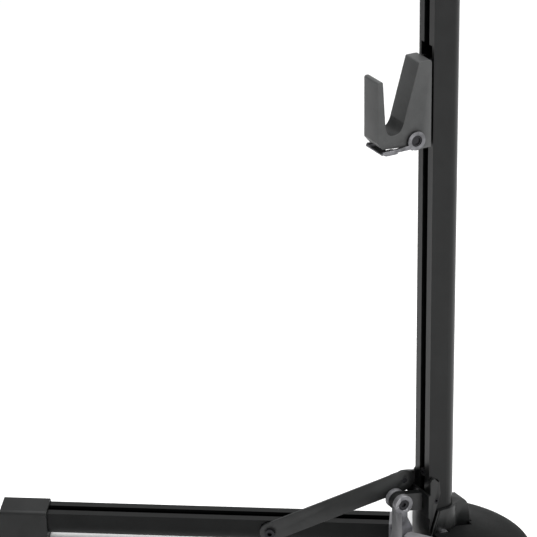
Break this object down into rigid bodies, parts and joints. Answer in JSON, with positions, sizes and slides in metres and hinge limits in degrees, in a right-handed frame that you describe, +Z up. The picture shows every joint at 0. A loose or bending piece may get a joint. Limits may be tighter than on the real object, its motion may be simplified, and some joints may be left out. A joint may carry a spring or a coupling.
{
  "type": "folding floor stand",
  "caption": "Folding floor stand: slotted upright with a sliding, lever-locked J hook, splayed slotted legs, stay and rear foot plate.",
  "frame": {"origin": "centre of the rubber pad on the floor, under the middle of the column", "axes": "+Z up, -Y forward, the way the hook and the legs point, +X to the stand's left-hand side, away from the stay"},
  "size_m": [0.4676, 0.4323, 0.607],
  "materials": {
    "black_anodised": "satin black anodised extrusion",
    "black_plastic": "fine matte moulding",
    "foot_plastic": "fine matte moulding",
    "hook_plastic": "satin moulding",
    "cast_black": "satin black powder coat over casting",
    "plate_paint": "satin black powder coat",
    "stay_paint": "satin black coat on flat bar",
    "cast_grey": "satin dark grey casting",
    "pad_rubber": "matte",
    "satin_steel": "satin nickel on sheet steel",
    "zinc_screw": "zinc plated",
    "black_screw": "black oxide",
    "bronze": "sintered bronze",
    "slider_metal": "black anodised"
  },
  "bodies": {
    "legs": {"leg_yoke": "cast_grey", "yoke_pad": "pad_rubber", "hinge_bolt": "black_screw", "hinge_nut": "black_screw", "far_leg": "black_anodised", "near_leg": "black_anodised", "far_foot": "foot_plastic", "near_foot": "foot_plastic", "far_foot_pad": "pad_rubber", "near_foot_pad": "pad_rubber", "leg_screws": "zinc_screw"},
    "upright": {"column": "black_anodised", "slot_screw": "black_screw", "column_cap": "black_plastic", "column_socket": "cast_black", "socket_screws": "zinc_screw", "hinge_block": "cast_black", "block_screws": "black_screw", "hinge_bush": "bronze", "foot_plate": "plate_paint", "plate_screws": "zinc_screw", "plate_pads": "pad_rubber", "stay_head_bolt": "black_screw"},
    "stay": {"stay": "stay_paint", "stay_foot_bolt": "black_screw"},
    "hook": {"hook_body": "hook_plastic", "hook_pin": "black_screw", "draw_bolt": "black_screw", "hook_slider": "slider_metal"},
    "lever": {"lock_lever": "satin_steel"}
  },
  "joints": [
    {"name": "column_fold", "type": "hinge", "parent": "legs", "child": "upright", "pos_m": [0, -0.039, 0.063], "axis": [1, 0, 0], "range_deg": [0, 90]},
    {"name": "stay_swing", "type": "hinge", "parent": "upright", "child": "stay", "pos_m": [0, -0.0275, 0.0765], "axis": [1, 0, 0], "range_deg": [-90, 0]},
    {"name": "hook_slide", "type": "slide", "parent": "upright", "child": "hook", "axis": [0, 0, 1], "range_m": [-0.26, 0.03]},
    {"name": "lever_swing", "type": "hinge", "parent": "hook", "child": "lever", "pos_m": [0, -0.032, 0.413], "axis": [1, 0, 0], "range_deg": [0, 95]}
  ],
  "couplings": [
    {"joint": "stay_swing", "follows": "column_fold", "ratio": -1}
  ]
}
